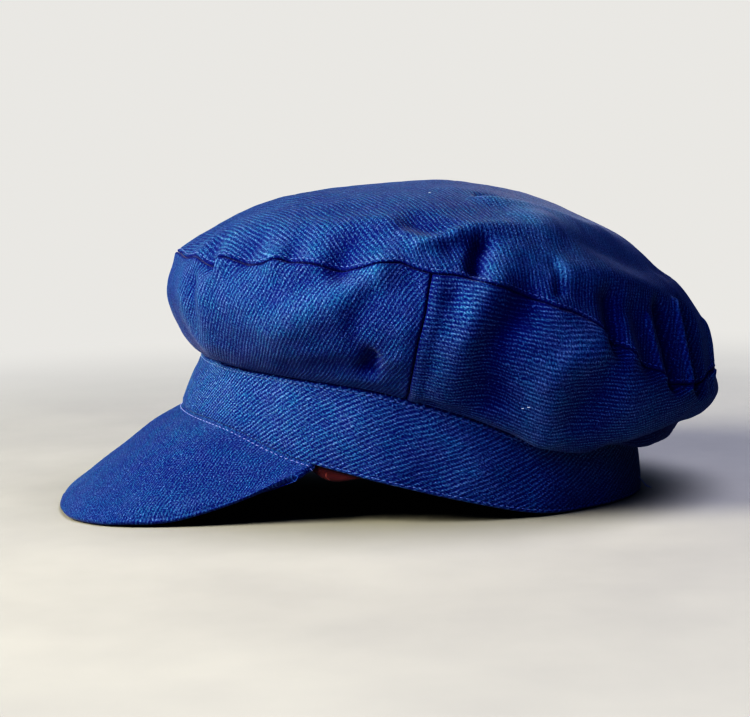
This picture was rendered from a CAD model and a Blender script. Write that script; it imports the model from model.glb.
"""Looks of a soft peaked cap of blue twill, in the frame of its solids.

Metres, +Z up. The front of the cap faces -Y and the wearer's left is +X. A place on the cloth is given by
two numbers. The angle, in degrees, is 0 at the front, 90 at the wearer's left and 180 at the back. The rise
is 0 at the hem, 1 at the top of the band, 2 at the seam round the top panel and 3 in the middle of the top.
"""

from collections import namedtuple

import bmesh
import bpy
import numpy as np
from mathutils import Matrix


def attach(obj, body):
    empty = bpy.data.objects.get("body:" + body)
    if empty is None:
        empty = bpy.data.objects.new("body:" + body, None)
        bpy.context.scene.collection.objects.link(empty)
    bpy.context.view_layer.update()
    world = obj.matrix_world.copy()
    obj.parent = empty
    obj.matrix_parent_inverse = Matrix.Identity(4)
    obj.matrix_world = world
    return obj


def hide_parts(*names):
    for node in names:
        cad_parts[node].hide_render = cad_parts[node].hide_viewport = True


MM = 0.001

# Sizes of the solids. Two things follow a closer reading here: the solids' peak starts at 68 degrees, and
# their hem lies a few millimetres higher between about 50 and 130 degrees.
BAND_LENGTH = 0.204
BAND_WIDTH = 0.168
BAND_HEIGHT = 0.031
FRONT_LIFT = 0.043
CROWN_LENGTH = 0.238
CROWN_WIDTH = 0.220
CROWN_SET_BACK = 0.016
SIDE_HEIGHT = 0.046
DOME_RISE = 0.0286
SIDE_SEAM_ANGLE = 86.0
PEAK_REACH = 0.056
PEAK_SPREAD = 0.148
PEAK_CORNER_ANGLE = 65.8
BAND_WALL = 0.0028
PEAK_WALL = 0.0034
PEAK_GAP = -0.0004
LINING_INSET = 0.0033
LINING_ROOM = 0.0128
LINING_DROP = 0.0045
LINING_WALL = 0.7 * MM
HEM_UPRIGHT = 0.08  # share of the band's height that stands upright above the hem

# Seams
ROLL = 1.4 * MM  # over this width the cloth rolls down into a seam
ROLL_DEPTH = 1.5 * MM
FLANGE = 3.0 * MM  # cloth turned in behind a seam
FLAP_DEPTH = 0.7 * MM  # the band's folded edge stands this proud of the side panels
SEAM_SPREAD = 12.0 * MM  # how far from the seam its waves are felt
FOLD_FELT = 2.6  # how many of its widths away a fold is still felt
FOLD_START = 0.12  # the rise above the band over which the folds come in
SHARED_WAY = 0.09  # the rise on both sides of the top seam in which its two panels are pushed the same way
GATHERS, GATHER_DEPTH = 62, 0.55 * MM  # small puckers round the top seam
GATHER_REACH_ABOVE, GATHER_REACH_BELOW = 15 * MM, 9 * MM
FLOOR_GAP = 0.0001

# Colours
YARN_BLUE, YARN_GREY = (0.030, 0.146, 0.278), (0.060, 0.122, 0.268)
YARN_DARK, YARN_TIPS = (0.0014, 0.0060, 0.098), (0.165, 0.222, 0.395)
SPECKS, SHEEN = (0.24, 0.34, 0.66), (0.37, 0.36, 0.60)
LINING_DARK, LINING_LIGHT = (0.022, 0.0010, 0.0014), (0.105, 0.0050, 0.0060)
BLUE_THREAD = (0.024, 0.055, 0.19), (0.145, 0.210, 0.46)
PALE_THREAD = (0.065, 0.080, 0.22), (0.270, 0.280, 0.58)
RED_THREAD = (0.08, 0.008, 0.008), (0.24, 0.05, 0.045)
PALE_LINT = (0.35, 0.36, 0.45), (0.75, 0.76, 0.80)
BACKDROP, SKY = (0.505, 0.499, 0.485), (0.14, 0.48, 1.0)
FLOOR_DARK, FLOOR_LIGHT = (0.172, 0.174, 0.210), (0.196, 0.198, 0.234)

# Round lights that face the cap: angle round it, angle up, distance, size, power and colour
LIGHTS = (
    ("window", 28, 33, 1.4, 0.70, 43.5, (1.0, 0.93, 0.57)),
    ("sky", 68, 24, 1.5, 1.3, 12.5, (0.075, 0.215, 1.0)),
    ("wall", 262, 26, 1.5, 1.2, 3, (0.75, 0.88, 1.0)),
    ("ceiling", 150, 70, 1.6, 1.6, 42, (1.0, 0.96, 0.88)),
)
LIGHTS_AIM = 0.07  # height of the point that they face
SKY_GLOW = 0.022, 0.125  # level with the horizon and overhead
FLOOR_SIZE, FLOOR_CORNERS = 6, 96
FLOOR_FADE = 0.17, 0.80  # distances between which the floor fades into the backdrop

# Camera: the photograph's view, from the wearer's left and a little above the cap
CAMERA_PLACE = (0.9, -0.0156, 0.153)
CAMERA_DOWN, CAMERA_ROLL = 5.86, -1.49
LENS, SENSOR = 97, 36

# Stitches
STITCH_PITCH = 2.5 * MM
STITCH_LENGTH = 1.65 * MM
STITCH_RADIUS = 0.21 * MM
STITCH_FROM_SEAM = 2.0 * MM

# Twill. Slants are pairs of a place, in millimetres up from the band or round the cap, and of how many
# degrees the wales lean there from the way in which the place is measured.
FLOAT = 1.25 * MM  # length of a warp float along the wale
CROWN_WALE, CROWN_SLANT = 1.8 * MM, 24.0
FRONT_WALE = 1.65 * MM
FRONT_SLANTS = ((-5, 17), (20, 20), (38, 22), (60, 30), (80, 30))  # up from the band
BACK_WALE = 1.7 * MM
BACK_SLANTS = ((-10, 6), (10, 7), (30, 10), (60, 17), (100, 20), (460, 20))
BAND_WALE = 1.42 * MM
BAND_SLANTS = ((-10, 44), (370, 44), (400, 36), (430, 28), (470, 29), (600, 26))
PEAK_WALE, PEAK_SLANT, PEAK_TILT = 1.2 * MM, 52.0, 36.0
NAP_BACK, NAP_UP = (0.015, 0.075), (0.094, 0.112)  # where the soft nap of the upper rear begins and is full

EDGE_STEPS = np.array([0, 0.25, 0.5, 0.8, 1.15, 1.55, 2.0, 2.5, 3.1, 3.8, 4.6]) * MM

# Band and seam by angle. hem_out and hem_lift are shares of the band's oval and of FRONT_LIFT, tall and
# lean of BAND_HEIGHT, and side of SIDE_HEIGHT.
Section = namedtuple("Section", "angle hem_out hem_lift tall lean side")
SECTIONS = (
    Section(0, 1.000, 1.000, 0.76, -0.33, 0.97),
    Section(20, 1.000, 0.975, 0.75, -0.29, 1.00),
    Section(40, 1.000, 0.890, 0.80, -0.20, 1.03),
    Section(60, 1.000, 0.640, 1.05, -0.10, 1.07),
    Section(80, 1.000, 0.430, 1.19, 0.00, 1.12),
    Section(100, 0.985, 0.215, 1.15, 0.04, 1.14),
    Section(120, 0.995, 0.035, 0.97, -0.07, 1.03),
    Section(140, 0.975, 0.000, 0.88, -0.05, 0.67),
    Section(160, 0.990, 0.000, 0.86, -0.07, 0.55),
    Section(180, 1.000, 0.000, 0.86, -0.06, 0.56),
)

# Side panels by angle: how far each of three lines has gone from the band to the seam, out and up.
Swell = namedtuple("Swell", "angle low_out low_up mid_out mid_up high_out high_up")
SWELLS = (
    Swell(0, 0.50, 0.09, 1.00, 0.28, 1.41, 0.62),
    Swell(45, 0.45, 0.08, 0.95, 0.29, 1.25, 0.64),
    Swell(90, 0.36, 0.08, 0.83, 0.32, 1.12, 0.67),
    Swell(135, 0.32, -0.10, 0.78, 0.26, 1.05, 0.68),
    Swell(180, 0.28, -0.18, 0.76, 0.18, 1.02, 0.62),
)
SWELL_PLACES = (0.0, 0.18, 0.45, 0.75, 1.0)

# Top panel by angle: the share of its fall that is done at five places on the way from middle to seam.
Fall = namedtuple("Fall", "angle at_20 at_40 at_60 at_80 at_90")
FALLS = (
    Fall(0, 0.040, 0.120, 0.228, 0.540, 0.755),
    Fall(45, 0.030, 0.090, 0.190, 0.420, 0.620),
    Fall(90, 0.015, 0.065, 0.160, 0.345, 0.510),
    Fall(135, 0.030, 0.100, 0.225, 0.430, 0.580),
    Fall(180, 0.040, 0.117, 0.262, 0.478, 0.610),
)
FALL_PLACES = (0.0, 0.2, 0.4, 0.6, 0.8, 0.9, 1.0)

# Peak by angle of the band point that it starts from. reach is a share of PEAK_REACH measured from the
# front of the band, spread a share of half of PEAK_SPREAD, lift a share of FRONT_LIFT.
Edge = namedtuple("Edge", "angle reach spread lift")
EDGES = (
    Edge(0, 1.000, 0.00, 0.00),
    Edge(14, 0.940, 0.38, 0.00),
    Edge(28, 0.760, 0.74, 0.00),
    Edge(42, 0.400, 0.96, 0.00),
    Edge(54, -0.090, 1.02, 0.04),
    Edge(62, -0.560, 1.04, 0.23),
    Edge(68, -1.040, 1.075, 0.53),
)

# Side seams: pairs of a rise and of how many degrees the seam lies ahead of SIDE_SEAM_ANGLE there
LEADS = ((1.0, -2.0), (1.36, 2.0), (1.62, 3.0), (1.82, 2.0), (2.0, 0.0))

# Folds and creases: name, path of angles and rises over the cloth, width, depth, fade and flare. Width and
# depth are in millimetres, out is positive. Fade and flare are the depth and the width at the path's end as
# shares of those at its start.
FOLDS = (
    # Top panel, wearer's left, front to back
    ("front ridge", ((28.5, 2.02), (26.5, 2.15)), 5.0, 1.6, 0.4, 1.5),
    ("front valley", ((35, 1.985), (32, 2.06), (28, 2.13)), 4.4, -2.2, 0.3, 1.6),
    ("second ridge", ((38.5, 2.0), (31, 2.18)), 4.6, 1.7, 0.5, 1.5),
    ("second valley", ((44.5, 2.0), (45, 2.075)), 4.8, -2.7, 0.5, 1.3),
    ("third ridge", ((53, 2.0), (49, 2.10)), 5.0, 1.9, 0.5, 1.5),
    ("third valley", ((56.5, 2.01), (57.5, 2.075)), 4.2, -2.9, 0.5, 1.3),
    ("fourth ridge", ((63, 2.0), (60, 2.09)), 6.0, 1.7, 0.5, 1.5),
    ("deep front valley", ((67.5, 1.985), (69.5, 2.05), (74, 2.09)), 5.0, -3.9, 0.4, 1.4),
    ("fifth ridge", ((76.5, 2.01), (75.5, 2.11)), 6.5, 2.0, 0.6, 1.5),
    ("middle hollow", ((82.5, 2.13), (87.5, 2.095)), 7.0, -3.2, 0.8, 1.0),
    ("crease under hollow", ((80.5, 2.075), (85, 2.068), (91, 2.09)), 3.0, 1.5, 1.0, 1.0),
    ("shoulder", ((83, 2.055), (87.5, 2.075), (92, 2.10), (102, 2.16), (112, 2.20)), 7.0, 1.4, 0.8, 1.6),
    ("shoulder crest", ((83, 2.05), (87.5, 2.07), (92, 2.09), (101, 2.14), (110, 2.17), (119, 2.19)),
     2.4, 1.7, 0.1, 1.8),
    ("under shoulder", ((90, 2.055), (97, 2.085), (106, 2.115), (116, 2.13)), 4.6, -2.0, 0.6, 1.5),
    ("rear shoulder", ((116, 2.24), (128, 2.30), (147, 2.33), (162, 2.30)), 15.0, 4.0, 0.6, 1.1),
    ("deep pucker", ((94.6, 2.022), (95.2, 2.045), (96.6, 2.08)), 3.4, -6.2, 0.9, 1.0),
    ("ridge behind pucker", ((99.5, 2.02), (102.5, 2.08)), 6.5, 1.3, 0.8, 1.4),
    ("back pucker", ((111.8, 2.03), (112.0, 2.055), (111.4, 2.07)), 2.8, -2.0, 0.8, 1.0),
    ("back fullness", ((156, 2.055), (168, 2.045), (180, 2.04), (200, 2.05)), 15.0, 3.6, 0.9, 1.0),
    ("back undercut", ((137, 1.15), (145, 1.26), (155, 1.36), (178, 1.42)), 8.5, -7.5, 0.6, 1.0),
    ("back crease", ((123.5, 1.985), (124, 2.02), (125, 2.055)), 5.0, -6.4, 0.7, 1.1),
    ("ridge behind crease", ((128, 2.0), (128.5, 2.035)), 3.6, 1.0, 0.8, 1.3),
    ("rear shelf", ((114, 2.065), (128, 2.09), (138, 2.105), (145, 2.09)), 7.0, 3.2, 0.4, 1.1),
    ("valley before pleats", ((132, 1.985), (132, 2.055)), 5.0, -2.6, 0.6, 1.2),
    ("first pleat", ((136.5, 2.06), (136, 2.03), (136.5, 1.99), (137, 1.96)), 1.5, 1.9, 0.6, 0.9),
    ("valley between pleats", ((143, 2.075), (141.5, 2.02), (140.5, 1.975)), 4.6, -7.0, 0.8, 0.9),
    ("second pleat", ((150.5, 2.09), (149, 2.07), (147.5, 2.04), (146.5, 1.99), (145.5, 1.94)), 1.8, 2.2, 1.0, 0.8),
    ("valley behind pleats", ((154.5, 2.075), (153.5, 2.04), (152, 1.985)), 4.6, -4.6, 1.0, 0.9),
    ("third pleat", ((166, 2.06), (164.5, 2.03), (161, 1.96)), 3.0, 1.2, 2.0, 1.0),
    ("valley at back", ((178, 2.09), (175, 2.0)), 5.5, -2.6, 0.8, 0.8),
    ("band of light", ((104, 2.37), (118, 2.385), (134, 2.36), (144, 2.34)), 6.0, 2.8, 0.4, 1.2),
    ("crease over it", ((104, 2.46), (112, 2.45), (119, 2.435), (128, 2.39), (137, 2.36)), 3.2, -1.7, 0.6, 1.2),
    # Front side panel, wearer's left
    ("front edge swell", ((22, 1.86), (23, 1.7), (25, 1.44), (28, 1.2)), 5.0, 0.8, 1.0, 1.2),
    ("front flattening", ((9, 1.85), (13, 1.6), (19, 1.3)), 11.0, -1.3, 1.0, 1.0),
    ("edge crease", ((27.5, 1.84), (28.5, 1.72), (28, 1.56)), 3.4, -1.9, 0.4, 1.6),
    ("front swell", ((36.5, 1.95), (32, 1.86), (30.5, 1.72), (31, 1.58), (30, 1.36)), 5.6, 2.5, 0.5, 1.4),
    ("front nick", ((35, 1.965), (33.5, 1.93)), 3.2, -1.8, 0.5, 1.0),
    ("slanting ridge", ((75, 1.93), (67, 1.82), (60.5, 1.74), (52, 1.60)), 6.4, 3.6, 0.5, 1.5),
    ("valley before ridge", ((65, 1.98), (57.5, 1.86), (50, 1.74)), 5.4, -2.0, 0.5, 1.4),
    ("slanting valley", ((73, 1.85), (70.5, 1.72), (70.5, 1.56), (72, 1.46)), 5.6, -1.8, 0.6, 0.9),
    ("low dimple", ((75.4, 1.28), (75.0, 1.40)), 3.8, -5.0, 0.9, 1.0),
    ("ridge by seam", ((80.5, 1.45), (80, 1.75)), 7.0, 1.6, 0.9, 1.0),
    ("dent by seam", ((82, 1.95), (80.5, 1.82)), 4.0, -0.8, 0.6, 1.2),
    ("low front crease", ((58, 1.22), (66, 1.26), (72, 1.30)), 6.0, -1.2, 1.0, 0.8),
    # Rear side panel, wearer's left
    ("dent behind seam", ((89.5, 1.87), (89, 1.74)), 4.6, -2.4, 0.5, 1.3),
    ("light stripe", ((96.5, 1.98), (92, 1.74), (91, 1.42), (93, 1.16)), 7.4, 2.5, 0.7, 1.2),
    ("broad valley", ((104, 1.93), (99.5, 1.78), (97.5, 1.58), (100.5, 1.32)), 8.0, -5.0, 0.8, 1.2),
    ("rear ridge", ((121, 1.90), (113.5, 1.76), (109.8, 1.58), (111.5, 1.4), (115, 1.24)), 8.5, 3.2, 0.9, 1.1),
    ("rear nick", ((123.5, 1.88), (121, 1.79)), 4.6, -2.6, 0.4, 1.2),
    ("rear valley", ((121, 1.66), (118.5, 1.44)), 9.0, -2.6, 0.8, 1.1),
    ("back swell", ((124, 1.72), (133, 1.44)), 9.0, 1.4, 1.0, 1.1),
    ("low crease behind seam", ((92, 1.09), (98, 1.10)), 3.4, -1.8, 0.5, 1.3),
    # Wearer's right, which the photograph doesn't show
    ("far shoulder", ((277, 2.06), (262, 2.16), (240, 2.27), (218, 2.31)), 11.0, 3.2, 0.8, 1.4),
    ("far front valley", ((324, 1.99), (328, 2.08)), 4.6, -2.6, 0.3, 1.5),
    ("far second ridge", ((318, 2.0), (323, 2.11)), 5.0, 1.8, 0.4, 1.5),
    ("far second valley", ((312, 1.99), (310, 2.08)), 4.8, -3.0, 0.4, 1.4),
    ("far middle ridge", ((300, 2.01), (302, 2.09)), 6.0, 1.8, 0.5, 1.5),
    ("far middle pucker", ((289, 1.99), (286, 2.10)), 5.0, -3.8, 0.4, 1.4),
    ("far hollow", ((274, 2.10), (268, 2.13)), 7.5, -2.8, 0.9, 1.0),
    ("far deep pucker", ((262, 1.985), (259, 2.085)), 4.6, -5.0, 0.4, 1.4),
    ("far back ridge", ((256, 2.01), (253, 2.07)), 5.0, 2.0, 0.6, 1.4),
    ("far back pucker", ((246, 1.99), (248, 2.07)), 4.8, -4.2, 0.4, 1.3),
    ("far back crease", ((235, 1.97), (238, 2.075)), 5.0, -5.0, 0.4, 1.3),
    ("far first pleat", ((228, 2.08), (226, 1.96)), 3.6, 3.0, 0.5, 0.8),
    ("far pleat valley", ((220, 2.09), (219, 1.99)), 6.0, -5.4, 0.7, 0.9),
    ("far second pleat", ((214, 1.96), (211, 2.06), (207, 2.15)), 3.8, 3.0, 0.3, 1.4),
    ("far back valley", ((199, 2.10), (204, 1.99)), 6.0, -4.6, 0.8, 0.8),
    ("far third pleat", ((192, 1.99), (189, 2.09)), 4.2, 1.8, 0.2, 1.2),
    ("far edge crease", ((332, 1.80), (330, 1.54)), 3.8, -1.8, 0.5, 1.5),
    ("far front swell", ((325, 1.95), (329, 1.7), (328, 1.4)), 6.0, 2.2, 0.5, 1.4),
    ("far slanting ridge", ((285, 1.92), (296, 1.74), (306, 1.60)), 7.0, 3.2, 0.6, 1.4),
    ("far slanting valley", ((291, 1.80), (292, 1.58), (286, 1.42)), 6.2, -3.2, 0.7, 1.0),
    ("far light stripe", ((268, 1.95), (270, 1.5), (266, 1.2)), 8.0, 2.2, 0.7, 1.2),
    ("far broad valley", ((258, 1.90), (262, 1.6), (256, 1.32)), 8.5, -3.8, 0.8, 1.2),
    ("far rear ridge", ((242, 1.88), (250, 1.6), (245, 1.26)), 9.0, 3.0, 0.9, 1.1),
    ("far back swell", ((230, 1.70), (222, 1.42)), 10.0, 1.6, 1.0, 1.1),
)

# How far the seam round the top panel waves: pairs of an angle and of millimetres up
WAVES = (
    (0, 0.3), (12, 0.8), (21.5, -0.9), (27, -0.2), (34.5, -2.6), (38.5, 0.2), (43, 0.0), (47, -1.1), (51, -0.7),
    (54, 1.2), (57, 1.0), (61.5, 0.0), (66, -0.9), (72, -1.1), (75, 0.2), (78, 1.3), (80, 2.3), (82.5, 1.2),
    (86, 0.0), (91, 1.2), (94, 1.0), (97, 0.2), (101, 1.2), (105, 2.2), (107.5, 2.0), (110.5, 1.4),
    (114.5, 2.6), (118.5, 2.0), (122.5, 0.4), (126, -0.4), (130, -1.8), (135.5, -1.4), (140, -2.6), (146, -2.6),
    (152, -2.4), (161, 3.6), (171, 3.4), (180, 1.2), (190, 0.6), (201, -2.0), (212, -0.4), (220, -2.4),
    (228, -0.6), (236, -2.0), (245, -1.4), (253, 1.2), (261, -0.8), (270, 1.6), (279, 0.4), (288, -1.4),
    (300, 1.2), (311, -1.4), (318, 0.4), (325, -2.0), (334, 0.6), (346, -0.6), (360, 0.3),
)

# Rows of the band: above the hem and below the top edge in millimetres
BAND_LOW = (0.0, 0.4, 0.8, 1.2, 1.6, 2.0, 2.4, 2.9, 3.5)
BAND_MIDDLE = tuple(np.linspace(4.5, 25.5, 22))
BAND_HIGH = (3.8, 3.1, 2.5, 2.0, 1.55, 1.15, 0.8, 0.5, 0.25, 0.0)
# Rows of the hem that is folded up inside: share of BAND_WALL, height and length of the cloth, in millimetres
BAND_INSIDE = ((1.0, 8.0, 9.0), (1.0, 4.0, 5.0), (1.0, 1.2, 2.2), (0.75, 0.25, 1.0))
BAND_TURNS = np.linspace(-180, 180, 641)

# Grids of the other pieces
FRONT_COLUMNS, BACK_COLUMNS, SIDE_ROWS = 430, 460, 48
TOP_COLUMNS, TOP_OUTER_ROWS, TOP_INNER_ROWS = 832, 35, 36
TOP_HALVINGS = (56, 68, 77)  # rows of the top panel after which every second column ends
PEAK_COLUMNS, PEAK_ROWS = 360, 55
LINING_COLUMNS = 360

# Specks of lint: places as angle, rise and millimetres off the cloth, radius in millimetres and slot
LINT = (
    ("lint_a", ((106.9, 1.336, 0.2), (107.05, 1.342, 0.5), (107.2, 1.345, 0.3)), 0.17, "back_twill"),
    ("lint_b", ((107.6, 1.362, 0.2), (107.75, 1.368, 0.5), (107.95, 1.372, 0.3)), 0.17, "back_twill"),
    ("lint_c", ((84.6, 2.43, 0.2), (85.0, 2.433, 0.5), (85.4, 2.43, 0.3)), 0.10, "crown_twill"),
)
# Loose thread ends, from the hem at an angle, in millimetres
RED_TAIL = 70.0, ((-1.5, -2.0, -1.2), (-0.6, -2.2, -2.2), (-0.3, -1.6, -3.2), (0.0, -0.6, -3.9))
BLUE_TAIL = 168.0, ((-1.0, -2.5, 8.5), (0.0, 0.8, 6.6), (0.5, 2.4, 4.2), (1.0, 3.8, 2.6), (1.0, 5.6, 2.2))


def between_knots(low, high, low_slope, high_slope, step, t):
    """Value at the share t of a step between two knots with the given values and slopes."""
    return (
        low * (2 * t**3 - 3 * t**2 + 1)
        + high * (3 * t**2 - 2 * t**3)
        + low_slope * step * (t**3 - 2 * t**2 + t)
        + high_slope * step * (t**3 - t**2)
    )


def smooth(places, values, at):
    """Values at places joined by a smooth curve, read at the given places."""
    x, y = np.asarray(places, float), np.asarray(values, float)
    slope = np.gradient(y, x)
    slope[0] = (y[1] - y[0]) / (x[1] - x[0])
    slope[-1] = (y[-1] - y[-2]) / (x[-1] - x[-2])
    at = np.clip(at, x[0], x[-1])
    i = np.clip(np.searchsorted(x, at, side="right") - 1, 0, len(x) - 2)
    step = x[i + 1] - x[i]
    return between_knots(y[i], y[i + 1], slope[i], slope[i + 1], step, (at - x[i]) / step)


def column(table, name, angle):
    """A column of a table by angle, the same on both sides of the cap."""
    rows = [(row.angle, getattr(row, name)) for row in table]
    mirrored = [(-a, v) for a, v in rows[1:3]][::-1]
    beyond = [(2 * rows[-1][0] - a, v) for a, v in rows[-3:-1]][::-1]
    places, values = zip(*(mirrored + rows + beyond))
    folded = np.abs((np.asarray(angle, float) + 180.0) % 360.0 - 180.0)
    return smooth(places, values, folded)


def blend(values, knots, place):
    """Like smooth, for values that change with the angle too."""
    y = np.stack(np.broadcast_arrays(*[np.asarray(v, float) + 0 * place for v in values]), 0)
    x = np.asarray(knots, float)
    shape = (len(x),) + (1,) * (y.ndim - 1)
    step = np.diff(x).reshape((len(x) - 1,) + shape[1:])
    chord = np.diff(y, axis=0) / step
    slope = np.concatenate([chord[:1], (chord[:-1] + chord[1:]) / 2, chord[-1:]], 0)
    i = np.clip(np.searchsorted(x, place, side="right") - 1, 0, len(x) - 2)

    def pick(a, k):
        return np.take_along_axis(a, k[None], 0)[0]

    width = x[i + 1] - x[i]
    t = np.clip((place - x[i]) / width, 0, 1)
    return between_knots(pick(y, i), pick(y, i + 1), pick(slope, i), pick(slope, i + 1), width, t)


def unit(vectors):
    return vectors / np.maximum(np.linalg.norm(vectors, axis=-1, keepdims=True), 1e-12)


def oval(angle, length, width, middle=0.0):
    turn = np.radians(angle)
    return np.stack([np.sin(turn) * width / 2, middle - np.cos(turn) * length / 2], -1)


def outwards(angle):
    """Level direction out of the band's oval."""
    turn = np.radians(angle)
    return unit(np.stack([np.sin(turn) / BAND_WIDTH, -np.cos(turn) / BAND_LENGTH], -1))


def hem_line(angle):
    plan = oval(angle, BAND_LENGTH, BAND_WIDTH) * column(SECTIONS, "hem_out", angle)[..., None]
    high = FRONT_LIFT * np.maximum(column(SECTIONS, "hem_lift", angle), 0)
    return np.concatenate([plan, high[..., None]], -1)


def band_top_line(angle):
    hem = hem_line(angle)
    lean = BAND_HEIGHT * column(SECTIONS, "lean", angle)
    tall = BAND_HEIGHT * column(SECTIONS, "tall", angle)
    plan = hem[..., :2] + outwards(angle) * lean[..., None]
    return np.concatenate([plan, (hem[..., 2] + tall)[..., None]], -1)


def seam_line(angle):
    plan = oval(angle, CROWN_LENGTH, CROWN_WIDTH, CROWN_SET_BACK)
    high = band_top_line(angle)[..., 2] + SIDE_HEIGHT * column(SECTIONS, "side", angle)
    return np.concatenate([plan, high[..., None]], -1)


def top_middle():
    high = float(seam_line(np.array(0.0))[2]) + DOME_RISE
    return np.array([0.0, CROWN_SET_BACK * 0.8, high])


def side_seam(rise):
    return SIDE_SEAM_ANGLE - smooth(*zip(*LEADS), rise)


def ease(share):
    return share * share * (3 - 2 * share)


def lengths_along(line):
    """Distance of each point, or of each row of points, from the first."""
    steps = np.linalg.norm(np.diff(line, axis=0), axis=-1)
    return np.concatenate([0 * steps[:1], np.cumsum(steps, 0)], 0)


def plain_form(angle, rise):
    """The cap's outside without its folds."""
    angle, rise = np.broadcast_arrays(np.asarray(angle, float), np.asarray(rise, float))
    hem, top, seam = hem_line(angle), band_top_line(angle), seam_line(angle)
    up = np.clip(rise, 0, 1)
    out = np.clip((rise - HEM_UPRIGHT) / (1 - HEM_UPRIGHT), 0, 1)
    band = hem + (top - hem) * np.stack([out, out, up], -1)

    lines = [(0.0, 0.0)] + [
        (column(SWELLS, f"{line}_out", angle), column(SWELLS, f"{line}_up", angle))
        for line in ("low", "mid", "high")
    ] + [(1.0, 1.0)]
    place = np.clip(rise - 1, 0, 1)
    out, up = (blend([line[k] for line in lines], SWELL_PLACES, place) for k in (0, 1))
    side = top + (seam - top) * np.stack([out, out, up], -1)

    share = np.clip(3 - rise, 0, 1)
    falls = [0.0] + [column(FALLS, name, angle) for name in Fall._fields[1:]] + [1.0]
    fall = blend(falls, FALL_PLACES, share)
    dome = top_middle() + (seam - top_middle()) * np.stack([share, share, fall], -1)

    rise = rise[..., None]
    return np.where(rise <= 1, band, np.where(rise <= 2, side, dome))


def plain_normal(angle, rise):
    """Outward direction of the plain form, worked out on the right side of each seam."""
    angle, rise = np.broadcast_arrays(np.asarray(angle, float), np.asarray(rise, float))
    low = np.where(rise < 1, 0.0, np.where(rise < 2, 1.0, 2.0)) + 1e-4
    high = np.where(rise < 1, 1.0, np.where(rise < 2, 2.0, 2.995)) - 1e-4
    a, b = np.clip(rise - 0.02, low, high), np.clip(rise + 0.02, low, high)
    across = plain_form(angle + 0.5, (a + b) / 2) - plain_form(angle - 0.5, (a + b) / 2)
    up = plain_form(angle, b) - plain_form(angle, a)
    return unit(np.cross(across, up))


def near_path(points, path, reach):
    """Distance from each point to a path of points, and how far along the path its nearest place is."""
    distance, along = np.full(len(points), np.inf), np.zeros(len(points))
    box_low, box_high = path.min(0) - reach, path.max(0) + reach
    near = np.flatnonzero(((points > box_low) & (points < box_high)).all(-1))
    steps = np.linalg.norm(np.diff(path, axis=0), axis=-1)
    starts = np.concatenate([[0], np.cumsum(steps)])
    some = points[near]
    for k, step in enumerate(steps):
        way = path[k + 1] - path[k]
        t = np.clip(((some - path[k]) @ way) / step**2, 0, 1)
        away = np.linalg.norm(some - path[k] - t[:, None] * way, axis=-1)
        closer = away < distance[near]
        distance[near[closer]] = away[closer]
        along[near[closer]] = (starts[k] + t[closer] * step) / starts[-1]
    return distance, along


def fold_push(points):
    """How far the folds push the cloth out, in metres."""
    flat = points.reshape(-1, 3)
    push = np.zeros(len(flat))
    for _, path, wide, deep, fade, flare in FOLDS:
        angles, rises = np.array(path, float).T
        turns = np.linspace(0, len(angles) - 1, 6 * (len(angles) - 1) + 1)
        order = np.arange(len(angles))
        path = plain_form(smooth(order, angles, turns), smooth(order, rises, turns))
        distance, along = near_path(flat, path, FOLD_FELT * (wide * max(1, flare) * MM))
        width = wide * MM * (1 + (flare - 1) * along)
        depth = deep * MM * (1 + (fade - 1) * along)
        push += depth * np.exp(-((distance / width) ** 2))
    return push.reshape(points.shape[:-1])


def ripple(points, wavelength, count, seed):
    """A gentle seeded unevenness between about -1 and 1."""
    rng = np.random.default_rng(seed)
    ways = unit(rng.normal(size=(count, 3)))
    waves = 2 * np.pi / (wavelength * rng.uniform(0.7, 1.5, count))
    phases = rng.uniform(0, 2 * np.pi, count)
    return np.sin(points @ (ways * waves[:, None]).T + phases).sum(-1) / np.sqrt(count)


def gathers(angle, from_seam, reach):
    """Small irregular puckers along the seam round the top panel."""
    rng = np.random.default_rng(11)
    places = (np.arange(GATHERS) + rng.uniform(-0.4, 0.4, GATHERS)) * 360 / GATHERS
    widths = rng.uniform(1.0, 2.2, GATHERS)
    depths = rng.uniform(-1.0, 0.7, GATHERS)
    leans = rng.uniform(-1.5, 1.5, GATHERS)  # degrees for each 10 mm from the seam
    lengths = reach * rng.uniform(0.5, 1.5, GATHERS)
    push = np.zeros(np.broadcast(angle, from_seam).shape)
    for place, width, deep, lean, length in zip(places, widths, depths, leans, lengths):
        away = (angle - place + 180) % 360 - 180 - lean * from_seam / 0.01
        spread = width * (1 + from_seam / reach)
        push += deep * np.exp(-((away / spread) ** 2) - (from_seam / length) ** 2)
    return GATHER_DEPTH * push


def roll(distance, depth=ROLL_DEPTH, width=ROLL):
    """How deep the cloth lies at a distance from a seam that it rolls into."""
    t = np.clip(1 - distance / width, 0, 1)
    return depth * (1 - np.sqrt(1 - t**2))


def groove(distance, middle, width):
    return np.exp(-(((distance - middle) / width) ** 2))


def crease(distance):
    """The dark line of a seam, counted as lack of wear."""
    return 9.0 * MM * np.exp(-((distance / (0.9 * MM)) ** 2))


def rises_at(angles, low, high, places_for):
    """Rises whose lengths along the cloth from the low seam are places_for(whole length), by row and column."""
    rises = np.linspace(low, high, 161)
    points = plain_form(angles[:, None], rises[None, :])
    steps = np.linalg.norm(np.diff(points, axis=1), axis=-1)
    lengths = np.concatenate([np.zeros((len(angles), 1)), np.cumsum(steps, 1)], 1)
    total = lengths[:, -1]
    places = places_for(total)
    found = np.stack([np.interp(places[k], lengths[k], rises) for k in range(len(angles))], 1)
    return found, places, total


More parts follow.
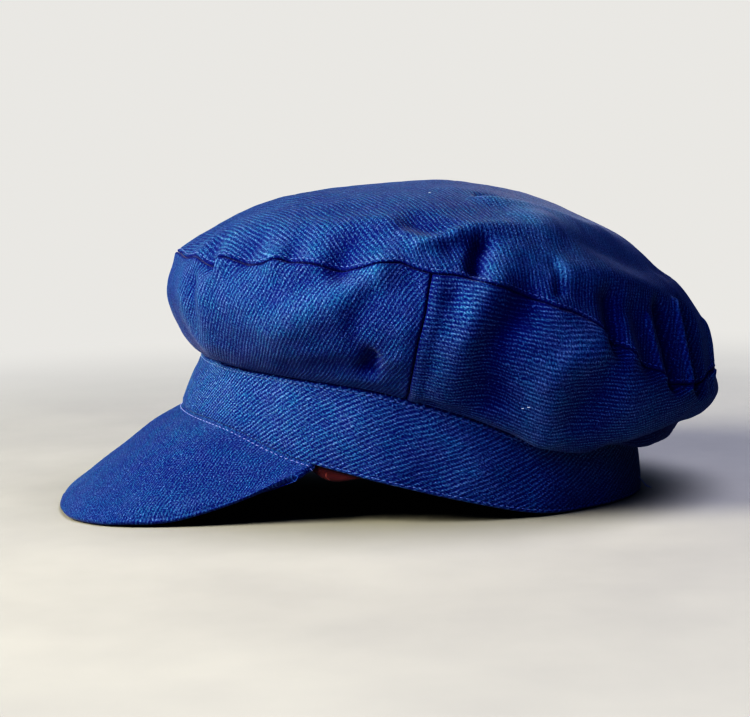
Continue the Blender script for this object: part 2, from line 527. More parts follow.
def push_way(angle, rise):
    """The direction in which folds push: by the seam round the top panel both panels share one."""
    both = unit(plain_normal(angle, 1.999) + plain_normal(angle, 2.001))
    near = ease(np.clip(1 - np.abs(rise - 2) / SHARED_WAY, 0, 1)[..., None])
    return unit(plain_normal(angle, rise) * (1 - near) + both * near)


def formed(angle, rise, from_tip_seam, below_seam):
    """The cloth above the band with its folds and gathers, the way they push it and how far."""
    points = plain_form(angle, rise)
    hold = ease(np.clip((rise - 1) / FOLD_START, 0, 1))
    push = fold_push(points) * hold
    push += gathers(angle, from_tip_seam, GATHER_REACH_BELOW if below_seam else GATHER_REACH_ABOVE) * hold
    push += 0.22 * MM * ripple(points, 26 * MM, 14, 3) * hold + 0.10 * MM * ripple(points, 9 * MM, 14, 4) * hold
    way = push_way(angle, rise)
    near = np.exp(-((from_tip_seam / SEAM_SPREAD) ** 2))
    up = smooth(*zip(*WAVES), angle % 360) * MM
    slide = unit(plain_form(angle, np.minimum(rise + 0.02, 2.999)) - plain_form(angle, rise - 0.04))
    return points + way * push[..., None] + slide * (up * near)[..., None], way, push


Cloth = namedtuple("Cloth", "points ways weave wear")


def turned_in(cloth, both):
    """Carries a cloth on behind its first row and, where both is set, behind its last."""
    points, ways, weave, wear = (
        np.concatenate([values[:1], values] + ([values[-1:]] if both else []), 0) for values in cloth)
    for row in (0, -1) if both else (0,):
        points[row] -= ways[row] * FLANGE
    return Cloth(points, ways, weave, wear)


def even_columns(start, end, count):
    """Angles between two side seams, closer together beside the seams."""
    degrees = EDGE_STEPS / ((CROWN_LENGTH + CROWN_WIDTH) / 4) * 180 / np.pi
    middle = np.linspace(start + degrees[-1], end - degrees[-1], count + 1)
    return np.concatenate([start + degrees[:-1], middle, (end - degrees[:-1])[::-1]])


def turned(first, second, degrees):
    """Places along and across straight wales."""
    turn = np.radians(degrees)
    return np.stack(
        [first * np.cos(turn) + second * np.sin(turn), second * np.cos(turn) - first * np.sin(turn)], -1)


def bent(first, second, slants):
    """Places along and across wales whose slant changes along the first way."""
    knots, slopes = zip(*slants)
    places = np.arange(knots[0], knots[-1], 0.5)
    degrees = smooth(knots, slopes, places)
    middle = np.radians(degrees.mean())
    climb = np.concatenate([[0], np.cumsum(np.tan(np.radians((degrees[1:] + degrees[:-1]) / 2))) / 2])
    across = (second - np.interp(first / MM, places, climb) * MM) * np.cos(middle)
    return np.stack([first * np.cos(middle) + second * np.sin(middle), across], -1)


def side_cloth(back):
    """Outside of a side panel, as rows from the band to the seam round the top panel."""
    columns = BACK_COLUMNS if back else FRONT_COLUMNS
    seam = float(side_seam(1.5))
    nominal = even_columns(seam, 360 - seam, columns) if back else even_columns(-seam, seam, columns)
    share = (nominal - nominal[0]) / (nominal[-1] - nominal[0])

    def places_for(total):
        inner = (total - 2 * EDGE_STEPS[-1])[:, None] * np.linspace(0, 1, SIDE_ROWS + 2)[1:-1]
        return np.concatenate([
            EDGE_STEPS + 0 * total[:, None], EDGE_STEPS[-1] + inner, total[:, None] - EDGE_STEPS[::-1]], 1)

    rise, places, total = rises_at(nominal, 1, 2, places_for)
    ends = side_seam(rise)
    start, end = (ends, 360 - ends) if back else (-ends, ends)
    angle = start + (end - start) * share
    from_band, from_tip = places.T, (total[:, None] - places).T
    points, way, push = formed(angle, rise, from_tip, True)

    around = lengths_along(points[len(points) // 2])
    from_side = np.minimum(around, around[-1] - around)[None, :] + 0 * rise
    dip = roll(from_tip) + roll(from_band, FLAP_DEPTH + 0.9 * MM, 2.2 * MM)
    dip += roll(from_side, 1.7 * MM, 1.0 * MM if back else 1.5 * MM)
    if back:  # the side seams' allowances lie under this panel
        dip -= 0.6 * MM * np.clip(1 - np.abs(from_side - 3 * MM) / (3 * MM), 0, 1) ** 0.5
    points = points - way * dip[..., None]
    middle = 0.0 if back else around[-1] / 2
    around = around[None, :] - middle + 0 * rise
    weave = bent(around, from_band, BACK_SLANTS) if back else bent(from_band, around, FRONT_SLANTS)
    wear = push - dip * 0.3 - crease(from_tip) - crease(from_band) - crease(from_side)
    return turned_in(Cloth(points, way, weave, wear), True)


def top_cloth():
    """Outside of the top panel, as rows from its seam to its middle."""
    angles = np.linspace(0, 360, TOP_COLUMNS + 1)[:-1]

    def places_for(total):
        inner = EDGE_STEPS[-1] + np.arange(1, TOP_OUTER_ROWS + 1) * 1.1 * MM
        shares = np.linspace(0, 1, TOP_INNER_ROWS + 1)[1:]
        rest = inner[-1] + (total[:, None] * 0.985 - inner[-1]) * shares
        return np.concatenate([EDGE_STEPS + 0 * total[:, None], inner + 0 * total[:, None], rest], 1)

    rise, places, total = rises_at(angles, 2, 3, places_for)
    angle = angles[None, :] + 0 * rise
    from_tip = places.T
    points, way, push = formed(angle, rise, from_tip, False)
    stitched = 0.35 * MM * groove(from_tip, STITCH_FROM_SEAM, 0.55 * MM)
    dip = roll(from_tip, 1.9 * MM, 1.3 * MM) + stitched
    points = points - way * dip[..., None]
    plan = seam_line(angle)[..., :2] - top_middle()[:2]
    flat = unit(plan) * (total[None, :] - from_tip)[..., None]
    weave = turned(flat[..., 0], flat[..., 1], CROWN_SLANT)
    wear = push - dip * 0.3 - crease(from_tip)
    return turned_in(Cloth(points, way, weave, wear), False)


def band_cloth():
    """The band: its folded top edge, its outside, and the hem folded up inside."""
    low, middle, high = (np.array(rows)[:, None] * MM for rows in (BAND_LOW, BAND_MIDDLE, BAND_HIGH))
    length = np.linalg.norm(band_top_line(BAND_TURNS) - hem_line(BAND_TURNS), axis=-1)
    from_hem = np.concatenate([low + 0 * length, middle * length / BAND_HEIGHT, length - high], 0)
    rise = from_hem / length
    angle = BAND_TURNS + 0 * rise
    way = plain_normal(angle, rise)
    points = plain_form(angle, rise)
    below = length - from_hem
    push = 0.30 * MM * ripple(points, 30 * MM, 12, 21) + 0.10 * MM * ripple(points, 10 * MM, 12, 22)
    push += 0.5 * MM * np.sin(np.clip(rise, 0, 1) * np.pi)
    stitched = 0.3 * MM * (groove(below, STITCH_FROM_SEAM, 0.5 * MM) + groove(from_hem, 1.9 * MM, 0.5 * MM))
    edge = BAND_WALL / 2
    dip = roll(from_hem, edge, edge) + roll(below, 1.0 * MM, 0.9 * MM)
    dip -= FLAP_DEPTH * np.clip(1 - below / (6 * MM), 0, 1)
    points = points + way * (push - stitched - dip)[..., None]
    points[0, :, 2] = np.maximum(points[0, :, 2], FLOOR_GAP)
    weave = bent(lengths_along(points[len(points) // 2])[None, :] + 0 * rise, from_hem, BAND_SLANTS)
    wear = push - dip * 0.4 - 0.4 * crease(below) + 2.5 * MM * groove(below, 0.9 * MM, 0.7 * MM)
    wear += 2.0 * MM * groove(from_hem, 0.3 * MM, 0.6 * MM)

    inside = [points[0] - way[0] * (deep * BAND_WALL - edge) + [0, 0, up * MM] for deep, up, _ in BAND_INSIDE]
    hem_ways, hem_weave, hem_wear = (np.repeat(v[:1], len(BAND_INSIDE), 0) for v in (-way, weave, wear))
    hem_weave[..., 1] -= np.array([run for _, _, run in BAND_INSIDE])[:, None] * MM
    pairs = ((inside, points), (hem_ways, way), (hem_weave, weave), (hem_wear, wear))
    cloth = Cloth(*(np.concatenate([hem, outside, outside[-1:]], 0) for hem, outside in pairs))
    cloth.points[-1] -= way[-1] * FLANGE
    return cloth


def peak_sheet(angle, share):
    """The peak's upper face, from the band (0) to its edge (1)."""
    start = hem_line(angle)
    start[..., :2] += outwards(angle) * PEAK_GAP
    edge = np.stack([
        np.sign(angle) * column(EDGES, "spread", angle) * PEAK_SPREAD / 2,
        -BAND_LENGTH / 2 - column(EDGES, "reach", angle) * PEAK_REACH,
        PEAK_WALL * 0.72 + column(EDGES, "lift", angle) * FRONT_LIFT,
    ], -1)
    knots = (0, 0.25, 0.5, 0.75, 0.92, 1)
    level = smooth(knots, (0, 0.255, 0.505, 0.755, 0.93, 1), share)
    down = smooth(knots, (0, 0.185, 0.445, 0.70, 0.885, 1), share)
    return start + (edge - start) * np.stack([level, level, down], -1)


def peak_faces():
    """The peak's upper and lower faces, which meet round its free edge."""
    near = EDGE_STEPS[:9]
    angles = np.linspace(-PEAK_CORNER_ANGLE, PEAK_CORNER_ANGLE, PEAK_COLUMNS + 1)
    shares = np.linspace(0, 1, 201)
    lengths = lengths_along(peak_sheet(angles[None, :] + 0 * shares[:, None], shares[:, None] + 0 * angles))
    total = lengths[-1]
    inner = (total - near[-1]) * np.linspace(0, 1, PEAK_ROWS + 1)[:-1, None]
    places = np.concatenate([inner, total - near[::-1][:, None]], 0)
    share = np.stack([np.interp(places[:, k], lengths[:, k], shares) for k in range(len(angles))], 1)
    sheet = peak_sheet(angles[None, :] + 0 * share, share)
    way = unit(np.cross(np.gradient(sheet, axis=1), -np.gradient(sheet, axis=0)))
    around = lengths_along(sheet[-1])
    from_side = np.minimum(around, around[-1] - around)
    from_edge = np.minimum(total - places, from_side[None, :])
    half = PEAK_WALL / 2
    t = np.clip(1 - from_edge / (1.5 * MM), 0, 1)
    thick = half * np.sqrt(np.clip(1 - t**2, 0, 1))
    middle = sheet - way * half
    rolled_out = np.clip(1 - from_edge / (6 * MM), 0, 1) * np.clip(from_side / (8 * MM), 0, 1)
    middle += (unit(sheet[-1] - sheet[-4]) * 0.9 * MM)[None] * rolled_out[..., None]
    uneven = 0.22 * MM * ripple(sheet, 34 * MM, 10, 31) * np.clip(from_edge / (5 * MM), 0, 1)
    sewn = 0.25 * MM * groove(from_edge, 2.4 * MM, 0.5 * MM)  # the shallow line sewn along the edge
    upper = middle + way * (thick + uneven - sewn)[..., None]
    lower = middle - way * (thick - sewn)[..., None]
    for face in (upper, lower):
        face[..., 2] = np.maximum(face[..., 2], FLOOR_GAP)

    # The weave is flat cloth laid over the peak's bow from side to side
    x, y, z = np.moveaxis(sheet, -1, 0)
    tilt = np.radians(PEAK_TILT)
    down = -y * np.cos(tilt) - z * np.sin(tilt)
    bow = np.polyfit(x.ravel() ** 2, (z * np.cos(tilt) - y * np.sin(tilt)).ravel(), 2)
    outward = np.linspace(0, PEAK_SPREAD * 0.6, 300)
    curve = np.hypot(np.diff(outward), np.diff(np.polyval(bow, outward**2)))
    sideways = np.interp(np.abs(x), outward, np.concatenate([[0], np.cumsum(curve)]))
    return upper, lower, way, turned(np.sign(x) * sideways, down, PEAK_SLANT)


def grid_faces(rows, columns, closed, halvings=()):
    """Corner numbers of the faces of a grid of rows, of which some have half as many points as before."""
    faces, start, count = [], 0, columns
    for row in range(rows - 1):
        following = count // 2 if row in halvings else count
        after = start + count
        steps = following if closed else following - 1
        i = np.arange(steps)
        j = (i + 1) % following
        if following == count:
            faces.append(np.stack([start + i, start + j, after + j, after + i], 1))
        else:
            a, b, c = start + 2 * i, start + 2 * i + 1, start + (2 * i + 2) % count
            for three in ((a, b, after + i), (b, after + j, after + i), (b, c, after + j)):
                faces.append(np.stack([*three, three[-1]], 1))
        start, count = after, following
    return [tuple(dict.fromkeys(f)) for block in faces for f in block.tolist()], start, count


def placed(name, data):
    """A new object in the scene."""
    obj = bpy.data.objects.new(name, data)
    bpy.context.scene.collection.objects.link(obj)
    return obj


def mesh_object(name, points, faces, mat):
    mesh = bpy.data.meshes.new(name)
    mesh.from_pydata(points, [], faces)
    mesh.materials.append(mat)
    mesh.shade_smooth()
    return placed(name, mesh)


def cloth_object(name, cloth, mat, closed=False, halvings=()):
    """A mesh of a grid of cloth, with where the weave runs and how far each place is worn.

    A closed cloth goes round the cap, and its last row is closed to a point.
    """
    keep = []
    every = 1
    for row in range(len(cloth.points)):
        keep.append(np.arange(0, cloth.points.shape[1], every))
        if row in halvings:
            every *= 2
    take = [[getattr(cloth, field)[row][k] for row, k in enumerate(keep)] for field in ("points", "weave", "wear")]
    points, weave, wear = (np.concatenate(t, 0) for t in take)
    faces, start, count = grid_faces(len(cloth.points), cloth.points.shape[1], closed, halvings)
    if closed:
        middle = len(points)
        points = np.concatenate([points, points[start:].mean(0)[None]], 0)
        weave, wear = np.concatenate([weave, [[0, 0]]], 0), np.concatenate([wear, [0.0]], 0)
        faces += [(start + i, start + (i + 1) % count, middle) for i in range(count)]
    obj = mesh_object(name, points, faces, mat)
    weave = np.concatenate([weave, 0 * weave[:, :1]], 1)
    obj.data.attributes.new("weave", "FLOAT_VECTOR", "POINT").data.foreach_set("vector", weave.ravel())
    obj.data.attributes.new("wear", "FLOAT", "POINT").data.foreach_set("value", (wear / MM).ravel())
    return obj


def stitch_shape():
    """Points and faces of one stitch lying along X, sunk into the cloth at both ends."""
    rings, sides = np.linspace(-1, 1, 7), 6
    points, faces = [], []
    for t in rings:
        size = np.sqrt(max(0.12, 1 - abs(t) ** 4))
        for k in range(sides):
            turn = 2 * np.pi * k / sides
            points.append((t * STITCH_LENGTH / 2, np.cos(turn) * size * STITCH_RADIUS,
                           np.sin(turn) * size * STITCH_RADIUS + STITCH_RADIUS * (0.55 - 1.1 * t**4)))
    for r in range(len(rings) - 1):
        for k in range(sides):
            a, b = r * sides + k, r * sides + (k + 1) % sides
            faces.append((a, b, b + sides, a + sides))
    faces.append(tuple(range(sides))[::-1])
    faces.append(tuple(range(len(points) - sides, len(points))))
    return np.array(points), faces


def stitches(name, lines, mat):
    """One mesh of stitches along lines, each a pair of points and outward directions."""
    shape, shape_faces = stitch_shape()
    rng = np.random.default_rng(5)
    points, faces = [], []
    for line, ways in lines:
        lengths = lengths_along(line)
        for place in np.arange(STITCH_PITCH / 2, lengths[-1], STITCH_PITCH):
            place += rng.uniform(-0.08, 0.08) * STITCH_PITCH
            at, ahead, way = (
                np.array([np.interp(p, lengths, values[:, k]) for k in range(3)])
                for p, values in ((place, line), (place + 0.3 * MM, line), (place, ways))
            )
            x = ahead - at
            x = x / max(np.linalg.norm(x), 1e-9)
            z = way - x * (way @ x)
            z = z / np.linalg.norm(z)
            y = np.cross(z, x)
            turn = rng.uniform(-0.14, 0.14)
            x, y = x * np.cos(turn) + y * np.sin(turn), y * np.cos(turn) - x * np.sin(turn)
            start = len(points) * len(shape)
            points.append(at + shape @ np.stack([x, y, z]))
            faces += [tuple(start + i for i in f) for f in shape_faces]
    return mesh_object(name, np.concatenate(points, 0), faces, mat)


def ring_at(cloth, distances, want):
    """The closed line over a cloth at a distance that its rows pass, with the directions there."""
    row = int(np.searchsorted(distances, want))
    t = (want - distances[row - 1]) / (distances[row] - distances[row - 1])
    rings = (values[row - 1] * (1 - t) + values[row] * t for values in (cloth.points, cloth.ways))
    return tuple(np.concatenate([ring, ring[:1]], 0) for ring in rings)


class Graph:
    """Short names for building the nodes of a material or of the world."""

    def __init__(self, owner, shader="Principled BSDF"):
        owner.use_nodes = True
        self.owner, self.tree = owner, owner.node_tree
        self.shader = self.tree.nodes[shader]

    def feed(self, node, inputs):
        """Gives a node's inputs a value, or joins them to another node."""
        for key, value in inputs.items():
            socket = node.inputs[key]
            if isinstance(value, bpy.types.NodeSocket):
                self.tree.links.new(value, socket)
            else:
                socket.default_value = (*value, 1.0) if socket.type == "RGBA" else value

    def node(self, kind, inputs=None, **settings):
        node = self.tree.nodes.new("ShaderNode" + kind)
        for key, value in settings.items():
            setattr(node, key, value)
        self.feed(node, inputs or {})
        return node

    def math(self, operation, *values):
        return self.node("Math", dict(enumerate(values)), operation=operation).outputs[0]

    def plus(self, first, *others):
        for other in others:
            first = self.math("ADD", first, other)
        return first

    def times(self, first, *others):
        for other in others:
            first = self.math("MULTIPLY", first, other)
        return first

    def less(self, first, second):
        return self.math("SUBTRACT", first, second)

    def parts(self, vector):
        return self.node("SeparateXYZ", {0: vector}).outputs

    def attribute(self, name, output):
        return self.node("Attribute", attribute_name=name).outputs[output]

    def noise(self, vector, scale, detail=2.0, roughness=0.5):
        inputs = {"Vector": vector, "Scale": scale, "Detail": detail, "Roughness": roughness}
        return self.node("TexNoise", inputs).outputs["Fac"]

    def between(self, value, low, high, to_low=0.0, to_high=1.0, soft=False):
        inputs = {"Value": value, "From Min": low, "From Max": high, "To Min": to_low, "To Max": to_high}
        return self.node("MapRange", inputs, interpolation_type="SMOOTHSTEP" if soft else "LINEAR").outputs[0]

    def mix(self, share, first, second):
        return self.node("Mix", {0: share, 6: first, 7: second}, data_type="RGBA").outputs[2]

    def bump(self, height, distance):
        node = self.node("Bump", {"Distance": distance, "Height": height})
        self.feed(self.shader, {"Normal": node.outputs[0]})


def twill(name, wale, worn=1.0, depth=1.0, bold=1.0):
    """Brushed blue twill. The weave attribute holds places along the wales and across them."""
    g = Graph(bpy.data.materials.new(name))
    place, wear = g.attribute("weave", "Vector"), g.attribute("wear", "Fac")
    along, across, _ = g.parts(place)
    stretched = g.node("VectorMath", {0: place, 1: (0.18, 1.0, 1.0)}, operation="MULTIPLY").outputs[0]

    def swing(scale, amount, detail=2.0):
        return g.times(g.less(g.noise(place, scale, detail), 0.5), amount)

    turns = g.math("DIVIDE", g.plus(across, swing(48, 1.7 * wale), swing(430, 0.6 * wale)), wale)
    ridge = g.between(g.math("COSINE", g.times(turns, 2 * np.pi)), -0.55, 0.95, soft=True)
    shifted = g.plus(g.math("DIVIDE", along, FLOAT), g.times(turns, 0.62))
    bead = g.between(g.math("SINE", g.times(shifted, 2 * np.pi)), -0.8, 0.9, 0.42, 1.08)
    streak = g.between(g.noise(stretched, 620, 2), 0.3, 0.7, 0.45, 1.15)
    fibre = g.noise(place, 2100, 3, 0.65)
    _, back, up = g.parts(g.node("TexCoord").outputs["Object"])
    nap = g.times(g.between(back, *NAP_BACK, soft=True), g.between(up, *NAP_UP, soft=True))
    yarn = g.times(ridge, bead, streak, g.less(1.0, g.times(nap, 0.6)))
    lit = g.plus(
        g.times(yarn, 0.86 * bold),
        g.times(g.less(fibre, 0.5), 2.2),
        swing(1100, 2.1 * (0.5 + 0.5 * bold)),
        swing(24, 0.45, 4),
        g.between(wear, -8, 5, -0.66 * worn, 0.34 * worn),
        g.times(nap, 0.34),
    )
    light = g.mix(g.between(g.noise(place, 130, 3, 0.6), 0.35, 0.65), YARN_BLUE, YARN_GREY)
    color = g.mix(g.between(lit, -0.10, 0.78), YARN_DARK, light)
    color = g.mix(g.between(lit, 0.66, 1.40), color, YARN_TIPS)
    color = g.mix(g.times(g.between(g.noise(place, 1450, 0), 0.74, 0.80), 0.45), color, SPECKS)
    g.bump(g.plus(g.times(yarn, 0.8), g.times(fibre, 0.45)), 0.23 * MM * depth)
    g.feed(g.shader, {
        "Base Color": color, "Roughness": 0.88, "Specular IOR Level": 0.12,
        "Sheen Weight": 0.26, "Sheen Roughness": 0.38, "Sheen Tint": SHEEN,
    })
    return g.owner


def thread(name, dark, light):
    """Twisted sewing thread."""
    g = Graph(bpy.data.materials.new(name))
    place = g.node("TexCoord").outputs["Object"]
    wave = {"Scale": 900, "Distortion": 1.5, "Vector": place}
    ply = g.node("TexWave", wave, wave_type="BANDS", bands_direction="DIAGONAL").outputs["Fac"]
    shade = g.plus(g.times(ply, 0.6), g.times(g.noise(place, 700), 0.5))
    g.feed(g.shader, {"Base Color": g.mix(shade, dark, light), "Roughness": 0.6})
    g.bump(ply, 0.08 * MM)
    return g.owner


def lining_material():
    """Dark red lining with a fine slanting rib."""
    g = Graph(bpy.data.materials.new("lining_twill"))
    place = g.attribute("weave", "Vector")
    around, up, _ = g.parts(place)
    rib = g.math("SINE", g.times(g.plus(around, up), 2 * np.pi / (0.55 * MM)))
    cloudy, fine = g.noise(place, 40, 4, 0.6), g.noise(place, 2400, 2, 0.6)
    shade = g.plus(g.times(g.between(rib, -1, 1), 0.4), g.times(fine, 0.4), g.times(g.less(cloudy, 0.5), 0.7))
    g.feed(g.shader, {"Base Color": g.mix(shade, LINING_DARK, LINING_LIGHT), "Roughness": 0.55})
    g.bump(g.plus(rib, fine), 0.08 * MM)
    return g.owner


def lining_cloth():
    """The lining: a strip against the band and a smaller bag that hangs in the crown."""
    angles = np.linspace(0, 360, LINING_COLUMNS + 1)[:-1]

    def against_band(rise):
        return plain_form(angles, rise) - plain_normal(angles, rise) * LINING_INSET

    turn = np.abs((angles + 180.0) % 360.0 - 180.0)
    lowest = 69.0  # degrees, beside the peak's corners
    drop = 1.45 * np.exp(-(((turn - lowest) / np.where(turn > lowest, 7.5, 7.0)) ** 2)) - 0.25
    low, top = against_band(HEM_UPRIGHT), against_band(0.999)
    hem = low - [0, 0, BAND_HEIGHT * HEM_UPRIGHT]
    hem[:, 2] = np.maximum(hem[:, 2] - LINING_DROP * drop, 2 * FLOOR_GAP)
    band_top, seam = band_top_line(angles), seam_line(angles)

    def inside(out, up):
        return top + (seam - band_top) * np.array([out, out, up])

    shoulder = inside(0.42, 0.88)
    lines = [hem, low, (low + top) / 2, top, inside(0.14, 0.30), inside(0.34, 0.60), shoulder]
    middle = top_middle() - [0, 0, LINING_ROOM]
    for share in (0.86, 0.66, 0.42, 0.18, 0.04):
        fall = 1 - (1 - share**2.2) ** (1 / 2.2)
        lines.append(middle + (shoulder - middle) * np.array([share, share, fall]))
    lines = np.array(lines)
    knots = np.arange(len(lines), dtype=float)
    rows = np.concatenate([np.linspace(0, 3, 16), np.linspace(3, knots[-1], 50)[1:]])[:, None]
    place = np.broadcast_to(rows, (len(rows), len(angles)))
    points = np.stack([blend([line[:, k] for line in lines], knots, place) for k in range(3)], -1)
    way = unit(np.cross(np.roll(points, -1, 1) - np.roll(points, 1, 1), np.gradient(points, axis=0)))
    bag = np.clip((rows - 3) / 2, 0, 1)
    folds = 1.1 * MM * ripple(points * [1, 1, 0.35], 22 * MM, 16, 41) + 0.5 * MM * ripple(points, 8 * MM, 16, 42)
    turn = np.radians(angles)[None, :]
    gathered = 0.8 * MM * np.sin(turn * 47 + 2 * np.sin(turn * 5)) * groove(rows, 3.35, 0.5)
    sunk = 0.7 * MM * (groove(rows, 3.0, 0.06) + groove(rows, 0.5, 0.05))
    points = points - way * ((np.abs(folds) * 0.6 + 0.6 * MM) * bag + gathered * bag + sunk)[..., None]
    up = lengths_along(points)
    weave = np.stack([lengths_along(top)[None, :] + 0 * up, up], -1)
    return Cloth(points, way, weave, 0 * up)


def tube(name, path, radius, mat):
    """A thread through the given points."""
    data = bpy.data.curves.new(name, "CURVE")
    data.dimensions = "3D"
    data.bevel_depth = radius
    data.bevel_resolution = 2
    spline = data.splines.new("NURBS")
    spline.points.add(len(path) - 1)
    for point, at in zip(spline.points, path):
        point.co = (*at, 1.0)
    spline.use_endpoint_u = True
    spline.order_u = 3
    data.materials.append(mat)
    return placed(name, data)


def add_piece(obj, slot, *nodes):
    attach(obj, "root")
    if nodes:
        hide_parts(*nodes)


def peak_object(mat):
    """The peak, and its upper face's points and directions."""
    upper, lower, way, weave = peak_faces()
    rows, columns = upper.shape[:2]
    turns = np.linspace(-PEAK_CORNER_ANGLE, PEAK_CORNER_ANGLE, columns)
    tuck = upper[:1] + np.concatenate([-outwards(turns) * 1.6 * MM, 1.3 * MM * np.ones((columns, 1))], -1)[None]
    sheet = np.concatenate([tuck, upper, lower[::-1][1:]], 0)
    pattern = np.concatenate([weave[:1], weave, weave[::-1][1:]], 0)
    ways = np.concatenate([way[:1], way, -way[::-1][1:]], 0)
    obj = cloth_object("peak_cloth", Cloth(sheet, ways, pattern, np.zeros((2 * rows, columns))), mat)
    bm = bmesh.new()
    bm.from_mesh(obj.data)
    bmesh.ops.remove_doubles(bm, verts=bm.verts, dist=0.00001)
    bm.to_mesh(obj.data)
    bm.free()
    return obj, upper, way


def lay_floor():
    """A round floor that fades into the backdrop where the camera sees it."""
    mesh = bpy.data.meshes.new("floor")
    turn = np.linspace(0, 2 * np.pi, FLOOR_CORNERS + 1)[:-1]
    corners = [(FLOOR_SIZE * np.cos(t), FLOOR_SIZE * np.sin(t), 0) for t in turn]
    mesh.from_pydata(corners, [], [tuple(range(FLOOR_CORNERS))])
    floor = placed("floor", mesh)
    g = Graph(bpy.data.materials.new("floor_paint"))
    place = g.node("TexCoord").outputs["Object"]
    paint = g.mix(g.between(g.noise(place, 9, 4, 0.6), 0.3, 0.7), FLOOR_DARK, FLOOR_LIGHT)
    g.feed(g.shader, {"Base Color": paint, "Roughness": 0.9, "Specular IOR Level": 0.1})
    length = g.node("VectorMath", {0: place}, operation="LENGTH").outputs["Value"]
    far = g.between(length, *FLOOR_FADE, soft=True)
    seen = g.node("LightPath").outputs["Is Camera Ray"]
    glow = g.node("Emission", {"Color": BACKDROP})
    both = g.node("MixShader", {0: g.times(far, seen), 1: g.shader.outputs[0], 2: glow.outputs[0]})
    g.feed(g.tree.nodes["Material Output"], {0: both.outputs[0]})
    mesh.materials.append(g.owner)
    return floor


def facing(back):
    """The turn of a light or camera whose back points that way and whose top is up."""
    right = unit(np.cross([0, 0, 1.0], back))
    return Matrix(np.stack([right, np.cross(back, right), back], 1).tolist()).to_4x4()


def put_lights(floor):
    """The lights. The ceiling's light falls on the floor alone, and the sky's on all but the floor."""
    lights = {}
    for name, around, up, away, size, power, color in LIGHTS:
        light = bpy.data.lights.new(name, "AREA")
        light.shape, light.size, light.energy, light.color = "DISK", size, power, color
        turn, rise = np.radians(around), np.radians(up)
        back = np.array([np.cos(rise) * np.sin(turn), -np.cos(rise) * np.cos(turn), np.sin(rise)])
        at = back * away + [0, 0, LIGHTS_AIM]
        lights[name] = placed(name, light)
        lights[name].matrix_world = Matrix.Translation(at.tolist()) @ facing(back)
    for name, group in (("ceiling", "on_floor"), ("sky", "off_floor")):
        group = bpy.data.collections.new(group)
        group.objects.link(floor)
        if name == "sky":
            group.collection_objects[0].light_linking.link_state = "EXCLUDE"
        lights[name].light_linking.receiver_collection = group


def put_world():
    """A dim blue sky, which the camera sees as the plain backdrop."""
    world = bpy.data.worlds.new("room")
    bpy.context.scene.world = world
    g = Graph(world, "Background")
    _, _, up = g.parts(g.node("TexCoord").outputs["Generated"])
    g.feed(g.shader, {"Color": SKY, "Strength": g.between(up, 0.0, 0.9, *SKY_GLOW)})
    pale = g.node("Background", {"Color": BACKDROP, "Strength": 1.0})
    seen = g.node("LightPath").outputs["Is Camera Ray"]
    both = g.node("MixShader", {0: seen, 1: g.shader.outputs[0], 2: pale.outputs[0]})
    g.feed(g.tree.nodes["World Output"], {0: both.outputs[0]})
    bpy.context.scene.view_settings.view_transform = "Standard"
    bpy.context.scene.view_settings.look = "Very High Contrast"


def put_camera():
    data = bpy.data.cameras.new("camera")
    data.lens, data.sensor_width, data.clip_start = LENS, SENSOR, 0.05
    obj = placed("camera", data)
    down = np.radians(CAMERA_DOWN)
    roll_back = Matrix.Rotation(np.radians(CAMERA_ROLL), 4, "Z")
    back = unit(np.array([np.cos(down), 0, np.sin(down)]))
    obj.matrix_world = Matrix.Translation(CAMERA_PLACE) @ facing(back) @ roll_back
    bpy.context.scene.camera = obj


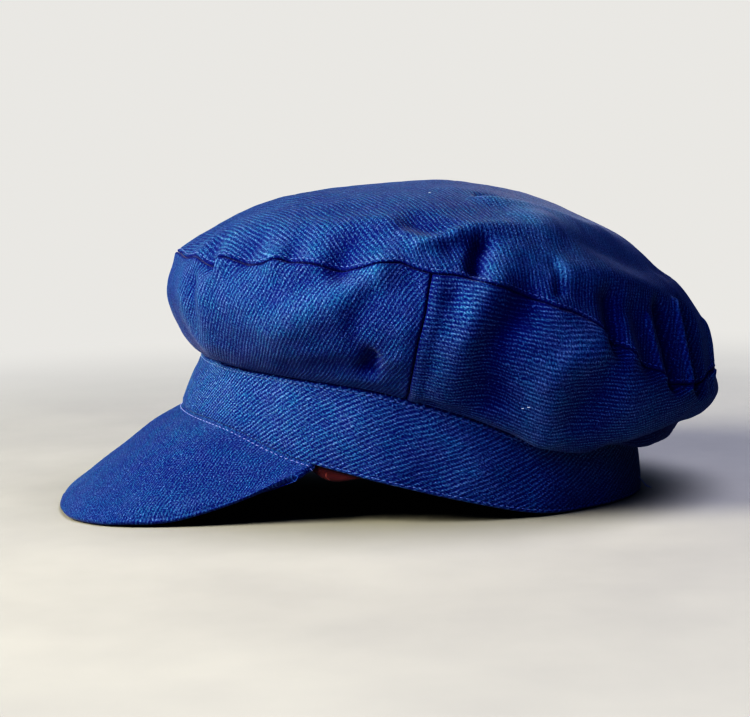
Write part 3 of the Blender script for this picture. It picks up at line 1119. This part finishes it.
def add_cloth():
    """The six pieces of cloth and their topstitching."""
    band_mat = twill("band_twill", BAND_WALE)
    peak_mat = twill("peak_twill", PEAK_WALE, 0.6, 0.5, 0.5)
    blue_thread, pale_thread = thread("blue_thread", *BLUE_THREAD), thread("pale_thread", *PALE_THREAD)
    top, band = top_cloth(), band_cloth()
    crown = cloth_object("crown_cloth", top, twill("crown_twill", CROWN_WALE, bold=0.8), True, TOP_HALVINGS)
    add_piece(crown, "crown_twill", "crown_top")
    front_mat, back_mat = twill("front_twill", FRONT_WALE, bold=0.8), twill("back_twill", BACK_WALE)
    add_piece(cloth_object("side_front_cloth", side_cloth(False), front_mat), "front_twill", "side_panel_front")
    add_piece(cloth_object("side_back_cloth", side_cloth(True), back_mat), "back_twill", "side_panel_back")
    add_piece(cloth_object("band_cloth_piece", band, band_mat), "band_twill", "band")
    peak, upper, peak_way = peak_object(peak_mat)
    add_piece(peak, "peak_twill", "peak")
    lining = cloth_object("lining_bag", lining_cloth(), lining_material(), True)
    wall = lining.modifiers.new("wall", "SOLIDIFY")
    wall.thickness, wall.offset = LINING_WALL, 1
    add_piece(lining, "lining_cloth", "lining")

    top_rows = np.concatenate([[-FLANGE], EDGE_STEPS])
    crown_line = ring_at(top, top_rows, STITCH_FROM_SEAM)
    add_piece(stitches("crown_stitches", [crown_line], blue_thread), "crown_twill")

    edge_row = len(BAND_INSIDE) + len(BAND_LOW) + len(BAND_MIDDLE) + BAND_HIGH.index(1.55)
    hem_row = len(BAND_INSIDE) + BAND_LOW.index(1.6)
    bare = np.abs(BAND_TURNS) > PEAK_CORNER_ANGLE + 1
    lines = [(band.points[edge_row], band.ways[edge_row])]
    for side in (bare & (BAND_TURNS < 0), bare & (BAND_TURNS > 0)):
        lines.append((band.points[hem_row][side], band.ways[hem_row][side]))
    add_piece(stitches("band_stitches", lines, blue_thread), "band_twill")

    ahead = upper[1] - upper[0]
    seam = upper[0] + ahead / np.linalg.norm(ahead, axis=-1, keepdims=True) * 1.5 * MM
    add_piece(stitches("peak_stitches", [(seam, peak_way[0])], pale_thread), "peak_twill")
    return blue_thread


def add_loose_ends(blue_thread):
    """Specks of lint on the cloth, and two loose thread ends at the hem."""
    red_thread, pale_lint = thread("red_thread", *RED_THREAD), thread("pale_lint", *PALE_LINT)
    away = np.array([30 * MM])  # from the top seam, clear of its gathers and waves
    for name, places, radius, slot in LINT:
        path = []
        for angle, rise, proud in places:
            points, ways, _ = formed(np.array([float(angle)]), np.array([float(rise)]), away, rise < 2)
            path.append(points[0] + ways[0] * (proud * MM))
        add_piece(tube(name, path, radius * MM, pale_lint), slot)
    for name, (angle, places), radius, mat, slot in (
        ("red_tail", RED_TAIL, 0.12, red_thread, "lining_cloth"),
        ("blue_tail", BLUE_TAIL, 0.17, blue_thread, "band_twill"),
    ):
        path = [hem_line(np.array(angle)) + np.array(place) * MM for place in places]
        add_piece(tube(name, path, radius * MM, mat), slot)


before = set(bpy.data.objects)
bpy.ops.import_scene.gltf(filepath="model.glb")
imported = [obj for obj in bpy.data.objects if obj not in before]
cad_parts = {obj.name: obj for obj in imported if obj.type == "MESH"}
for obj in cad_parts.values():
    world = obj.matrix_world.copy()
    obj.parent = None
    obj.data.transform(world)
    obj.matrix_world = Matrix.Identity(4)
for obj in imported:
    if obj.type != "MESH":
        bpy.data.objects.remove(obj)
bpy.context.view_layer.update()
put_camera()
put_lights(lay_floor())
put_world()
add_loose_ends(add_cloth())
